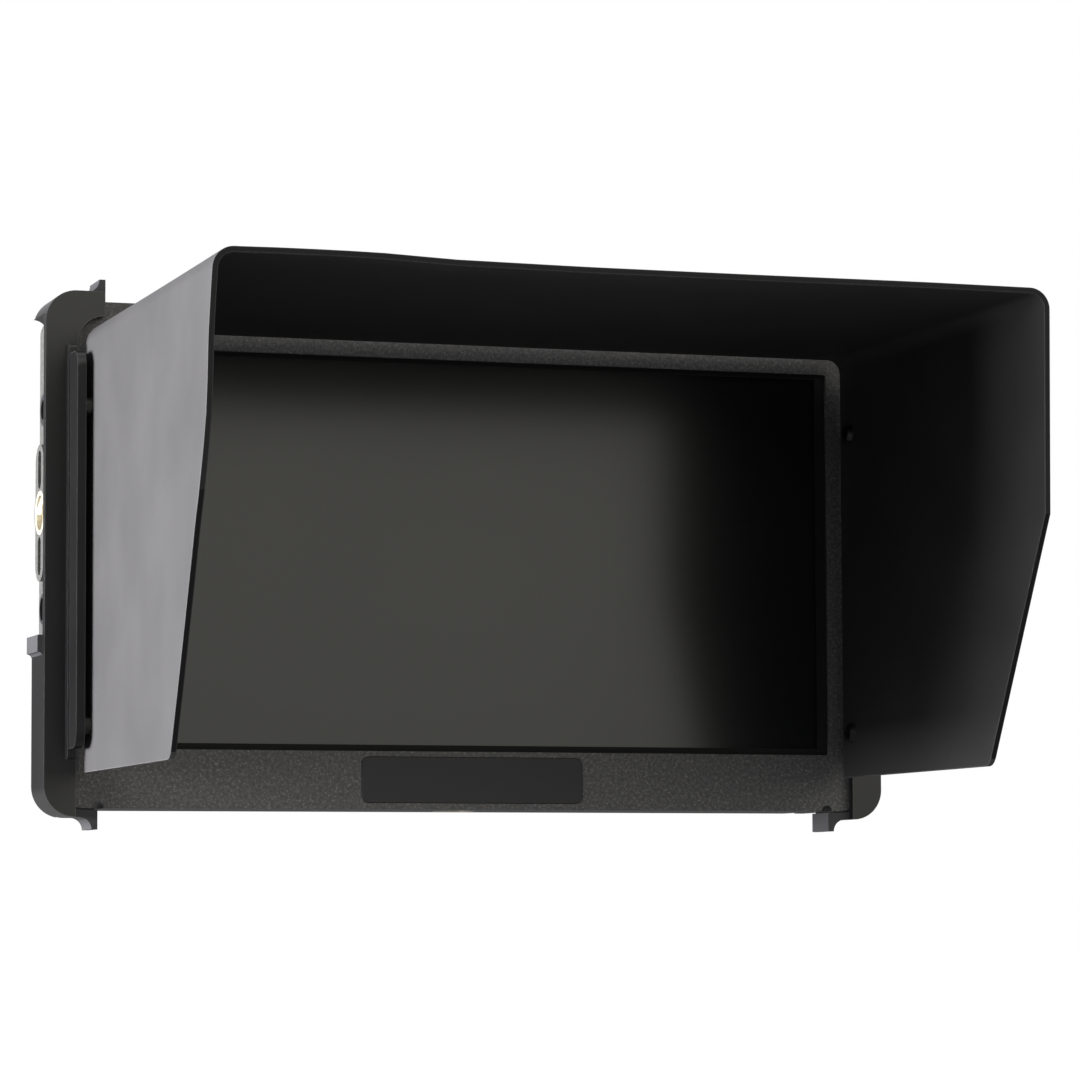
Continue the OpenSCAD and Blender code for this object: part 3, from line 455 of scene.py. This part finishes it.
def sun_hood():
    """The bent sheet, slightly bowed towards its free front edge as thin sheet is."""
    edge = 0.24
    # The sheet is held this far from its rear edge, and these are the left panel's and the top
    # bend's reach, all in millimetres
    held, panel_reach, bend_below, bend_rise = 10, 4, 9, 7
    inside, rim = 1, 2
    bm = rounded_copy("sun_hood", edge)
    low, high = (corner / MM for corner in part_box("sun_hood"))
    cut_through(bm, [
        (direction, place)
        for direction, first, last, width in HOOD_STRIPS
        for place in range(int(low.dot(direction)) + first, int(high.dot(direction)) - last, width)
    ])
    fixed = high.y - held
    for vert in bm.verts:
        x, y, z = vert.co / MM
        free = share_of((fixed - y) / (fixed - low.y))
        if x < low.x + panel_reach:
            vert.co.x -= between(z, SIDE_BOW) * free * MM
        near_top = share_of((z - high.z + bend_below) / bend_rise)
        vert.co.z += between(x, TOP_LIFT) * near_top * free ** 1.5 * MM
    bm.normal_update()
    middle = Vector((0, 0, 40 * MM))
    for face in bm.faces:
        out = face.calc_center_median() - middle
        out.y = 0
        if face.normal.y < -0.8:
            face.material_index = rim
        elif face.normal.dot(out.normalized()) < -0.25:
            face.material_index = inside
    finishes = [MATERIALS["hood_sheet"], hood_inside, hood_rim]
    piece = finish_mesh(bm, "sun_hood_shell", BODY_OF["sun_hood"], finishes)
    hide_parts("sun_hood")


def screen_gasket():
    """Thin black foam frame on the glass, just inside the bezel's window."""
    depth, air, lap = 0.4, 0.06, 1.45
    # Width of the foam at the sides, below and above
    side, below, above = 1.9, 1.1, 0.8
    front = glass_low.y / MM - depth
    left, right = glass_low.x / MM + lap, glass_high.x / MM - lap
    bottom, top = glass_low.z / MM + lap, glass_high.z / MM - lap
    inner_left, inner_right = left + side, right - side
    inner_bottom, inner_top = bottom + below, top - above
    bm = box_of((left, front, bottom), (right, front + depth - air, top))
    cut_through(bm, [
        (ACROSS, inner_left), (ACROSS, inner_right), (UP, inner_bottom), (UP, inner_top),
    ])
    open_faces = [
        f for f in bm.faces
        if abs(f.normal.y) > 0.9
        and inner_left < f.calc_center_median().x / MM < inner_right
        and inner_bottom < f.calc_center_median().z / MM < inner_top
    ]
    rims = [e for f in open_faces for e in f.edges]
    bmesh.ops.delete(bm, geom=open_faces, context="FACES_ONLY")
    bmesh.ops.bridge_loops(bm, edges=rims)
    bmesh.ops.recalc_face_normals(bm, faces=bm.faces)
    finish_mesh(bm, "screen_gasket", BODY_OF["cover_glass"], [gasket_foam])


def grip_pads():
    """Thin rubber pads between the brackets' lips and the monitor."""
    reach, thick, air, edge = 6.2, 0.28, 0.01, 0.08
    front, rear = -12.2, -4.6
    body_low, body_high = (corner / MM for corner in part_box("front_bezel"))
    for sign, side in ((-1, "left"), (1, "right")):
        ends = sorted((sign * body_high.x, sign * (body_high.x - reach)))
        for name, z in (("under", body_low.z - (thick + air)), ("over", body_high.z + air)):
            bm = box_of((ends[0], front, z), (ends[1], rear, z + thick), edge)
            finish_mesh(bm, f"grip_pad_{side}_{name}", BODY_OF[side + "_bracket"], [grip_rubber])


# Coarse quarter-inch thread in millimetres: pitch, depth of the run, distance from the mouth, and
# the ridge's outline as radius and share of the pitch
THREAD_PITCH, THREAD_RUN, THREAD_START = 1.27, 5.2, 0.25
THREAD_RIDGE = ((3.19, 0.0), (2.72, 0.42), (2.72, 0.58), (3.19, 0.98))
STEPS_PER_TURN = 28


def insert_thread(node, mouth, inwards):
    """Thread in the hole of an insert, from its mouth inwards."""
    side = BACK if inwards == ACROSS else ACROSS
    start = mouth + inwards * THREAD_START * MM
    bm = bmesh.new()
    corners = [
        bm.verts.new(start + side * radius * MM + inwards * (THREAD_PITCH * share) * MM)
        for radius, share in THREAD_RIDGE
    ]
    rim = [bm.edges.new((a, b)) for a, b in zip(corners, corners[1:] + corners[:1])]
    steps = int(THREAD_RUN / THREAD_PITCH * STEPS_PER_TURN)
    bmesh.ops.spin(
        bm, geom=corners + rim, cent=start, axis=inwards,
        dvec=inwards * THREAD_PITCH * MM / STEPS_PER_TURN,
        angle=2 * math.pi * steps / STEPS_PER_TURN, steps=steps,
        use_merge=False, use_duplicate=False,
    )
    bmesh.ops.holes_fill(bm, edges=bm.edges, sides=4)
    bmesh.ops.recalc_face_normals(bm, faces=bm.faces)
    slot = SLOT_OF[node]
    finish_mesh(bm, node + "_thread", BODY_OF[node], [MATERIALS[slot]])


# Each socket's tongue in millimetres: width, thickness, length, number of contacts, their spacing
TONGUES = {
    "video_in_socket": (11.2, 1.3, 7.9, 9, 1.1),
    "video_out_socket": (11.2, 1.3, 7.9, 9, 1.1),
    "usb_socket": (6.2, 0.7, 4.9, 8, 0.6),
}


def socket_tongue(node, width, thick, length, pins, pitch):
    """Black tongue of a socket with its gold contacts, over the plain tongue of the shell."""
    root, start, skin, edge = 1, 1.05, 0.06, 0.05
    low, high = (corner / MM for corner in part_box(node))
    middle = (low + high) / 2
    front = low.x + root + length
    bm = box_of(
        (low.x + start, middle.y - thick / 2 - skin, middle.z - width / 2 - skin),
        (front + skin, middle.y + thick / 2 + skin, middle.z + width / 2 + skin), edge,
    )
    finish_mesh(bm, node + "_tongue", BODY_OF[node], [MATERIALS["jack_plastic"]])
    # Contacts lie half sunk in the tongue, and fill a share of its length and of their spacing
    contact_thick, contact_out = 0.1, 0.07
    behind_front, long_share, wide_share = 0.42, 0.7, 0.5
    size = Vector((length * long_share, contact_thick, pitch * wide_share)) * MM
    bm = bmesh.new()
    for i in range(pins):
        z = middle.z + (i - (pins - 1) / 2) * pitch
        x, y = front - length * behind_front, middle.y - thick / 2 - contact_out
        centre = Vector((x, y, z)) * MM
        bmesh.ops.create_cube(bm, size=1, matrix=Matrix.LocRotScale(centre, None, size))
    finish_mesh(bm, node + "_contacts", BODY_OF[node], [MATERIALS["contact"]])


# Width of the rounding on each node's edges, in millimetres
ROUNDED = {
    "front_bezel": 0.2,
    "rear_housing": 0.2,
    "name_plate": 0.1,
    "side_insert": 0.12,
    "tripod_insert": 0.12,
    "power_button": 0.25,
    "key_1": 0.3,
    "key_2": 0.3,
    "key_3": 0.3,
    "key_4": 0.3,
    "menu_dial": 0.12,
    "battery_plate": 0.25,
    "battery_latch": 0.25,
    "left_bracket": 0.28,
    "right_bracket": 0.28,
}
for node in frame["nodes"]:
    paint(node)
frame["nodes"]["hood_washers"].data.materials[0] = washer_steel
for node, edge_width in ROUNDED.items():
    dress(node, edge_width)
sun_hood()
screen_gasket()
grip_pads()
insert_thread("side_insert", MOUNT["side_socket"], ACROSS)
insert_thread("tripod_insert", Vector((0, 0, 0)), UP)
for node, sizes in TONGUES.items():
    socket_tongue(node, *sizes)


# ------------------------------------------------------- floor, light and camera

# Floor in metres: half its width, its height, and the distances at which it starts and has
# finished fading into the white round it
FLOOR_REACH, FLOOR_HEIGHT = 3.0, -60 * MM
FADE_STARTS, FADE_ENDS = 0.2, 0.3
# Soft walls round the object: direction, cosines where each starts and is full, and colour
SOFT_WALLS = [
    ((0.36, -0.85, 0.42), 0.72, 0.9, (1.4, 1.38, 1.25)),
    ((-1.0, 0.0, 0.0), 0.78, 0.95, (1.0, 0.99, 0.96)),
    ((0.0, 0.3, 0.95), 0.2, 0.9, (0.7, 0.7, 0.72)),
    ((0.85, 0.5, 0.2), 0.3, 0.9, (0.7, 0.7, 0.72)),
]
AMBIENT = (0.04, 0.04, 0.043)
# Soft box at the left: width and height, place and aim in metres, and power in watts
LAMP_SIZE = (0.6, 0.2)
LAMP_PLACE = Vector((-0.9, 0.02, 0.05))
LAMP_AIM = Vector((0, -0.04, 0.045))
LAMP_WATTS = 27.5


def make_floor():
    """Plain pale floor well below the object, which its tripod socket holds up."""
    bm = bmesh.new()
    bmesh.ops.create_grid(
        bm, x_segments=1, y_segments=1, size=FLOOR_REACH,
        matrix=Matrix.Translation((0, 0, FLOOR_HEIGHT)),
    )
    data = bpy.data.meshes.new("floor")
    bm.to_mesh(data)
    bm.free()
    # Matte paper that fades into the white surroundings away from the object
    material, tree, shader = new_material("paper_pale")
    place = add(tree, "TexCoord")
    away = add(tree, "VectorMath", {"operation": "LENGTH"}, _0=(place, "Object"))
    fade = add(
        tree, "MapRange", Value=(away, "Value"), From_Min=FADE_STARTS, From_Max=FADE_ENDS
    )
    seen = add(tree, "LightPath")
    glow = add(
        tree, "Math", {"operation": "MULTIPLY"}, _0=(fade, "Result"), _1=(seen, "Is Camera Ray")
    )
    tree.links.new(glow.outputs["Value"], shader.inputs["Emission Strength"])
    # Seen pale by the camera, but as dull as a studio's grey card by the object above it
    paper = add(
        tree, "Mix", {"data_type": "RGBA"},
        _0=(seen, "Is Camera Ray"), _6=linear("#8a8a8a"), _7=linear("#c9c9c7"),
    )
    tree.links.new(paper.outputs[2], shader.inputs["Base Color"])
    shader.inputs["Emission Color"].default_value = (1, 1, 1, 1)
    shader.inputs["Roughness"].default_value = 0.9
    shader.inputs["Specular IOR Level"].default_value = 0.1
    data.materials.append(material)
    floor = bpy.data.objects.new("floor", data)
    bpy.context.scene.collection.objects.link(floor)


def make_light():
    """White behind the object for the camera, soft walls for light, and a soft box at the left."""
    world = bpy.data.worlds.new("studio")
    bpy.context.scene.world = world
    world.use_nodes = True
    tree = world.node_tree
    tree.nodes.clear()
    place = add(tree, "TexCoord")
    glow = add(tree, "VectorMath", {"operation": "ADD"}, _0=AMBIENT, _1=(0, 0, 0))
    for direction, wide, narrow, colour in SOFT_WALLS:
        towards = Vector(direction).normalized()[:]
        facing = add(
            tree, "VectorMath", {"operation": "DOT_PRODUCT"},
            _0=(place, "Generated"), _1=towards,
        )
        share = add(
            tree, "MapRange", {"interpolation_type": "SMOOTHSTEP"},
            Value=(facing, "Value"), From_Min=wide, From_Max=narrow,
        )
        glow = add(
            tree, "VectorMath", {"operation": "MULTIPLY_ADD"},
            _0=(share, "Result"), _1=colour, _2=(glow, "Vector"),
        )
    soft = add(tree, "Background", Color=(glow, "Vector"))
    white = add(tree, "Background", Color=(1, 1, 1, 1))
    seen = add(tree, "LightPath")
    mixed = add(
        tree, "MixShader",
        _0=(seen, "Is Camera Ray"), _1=(soft, "Background"), _2=(white, "Background"),
    )
    add(tree, "OutputWorld", Surface=(mixed, "Shader"))
    lamp = bpy.data.lights.new("soft_box_left", "AREA")
    lamp.shape = "RECTANGLE"
    lamp.size, lamp.size_y = LAMP_SIZE
    lamp.energy = LAMP_WATTS
    made = bpy.data.objects.new("soft_box_left", lamp)
    made.location = LAMP_PLACE
    made.rotation_euler = (LAMP_AIM - LAMP_PLACE).to_track_quat("-Z", "Y").to_euler()
    made.visible_camera = False
    bpy.context.scene.collection.objects.link(made)


# The photograph's camera, found by fitting the object's edges to the picture:
# place in millimetres, angles in degrees, lens and centre in the picture's pixels.
PICTURE = 1080
CAMERA_MM = (-230.8, -739.0, -18.8)
CAMERA_TURN = 18.51
CAMERA_RAISE = 4.24
CAMERA_ROLL = -0.23
LENS_PX = 4150
CENTRE_PX = (537.3, 604.5)
SENSOR_MM = 36


def make_camera():
    """Camera at the photograph's place, turned right and raised, with a small shift."""
    data = bpy.data.cameras.new("camera")
    data.sensor_width = SENSOR_MM
    data.lens = LENS_PX / PICTURE * SENSOR_MM
    data.shift_x = (PICTURE / 2 - CENTRE_PX[0]) / PICTURE
    data.shift_y = (CENTRE_PX[1] - PICTURE / 2) / PICTURE
    data.clip_start = 0.01
    data.clip_end = 50
    turn, lift, roll = (math.radians(a) for a in (CAMERA_TURN, CAMERA_RAISE, CAMERA_ROLL))
    level = math.cos(lift)
    ahead = Vector((math.sin(turn) * level, math.cos(turn) * level, math.sin(lift)))
    right = ahead.cross(UP).normalized()
    above = right.cross(ahead)
    side = right * math.cos(roll) + above * math.sin(roll)
    up = above * math.cos(roll) - right * math.sin(roll)
    pose = Matrix((side, up, -ahead)).transposed().to_4x4()
    pose.translation = Vector(CAMERA_MM) * MM
    made = bpy.data.objects.new("camera", data)
    made.matrix_world = pose
    bpy.context.scene.collection.objects.link(made)
    bpy.context.scene.camera = made


make_floor()
make_light()
make_camera()
bpy.context.scene.view_settings.view_transform = "Standard"
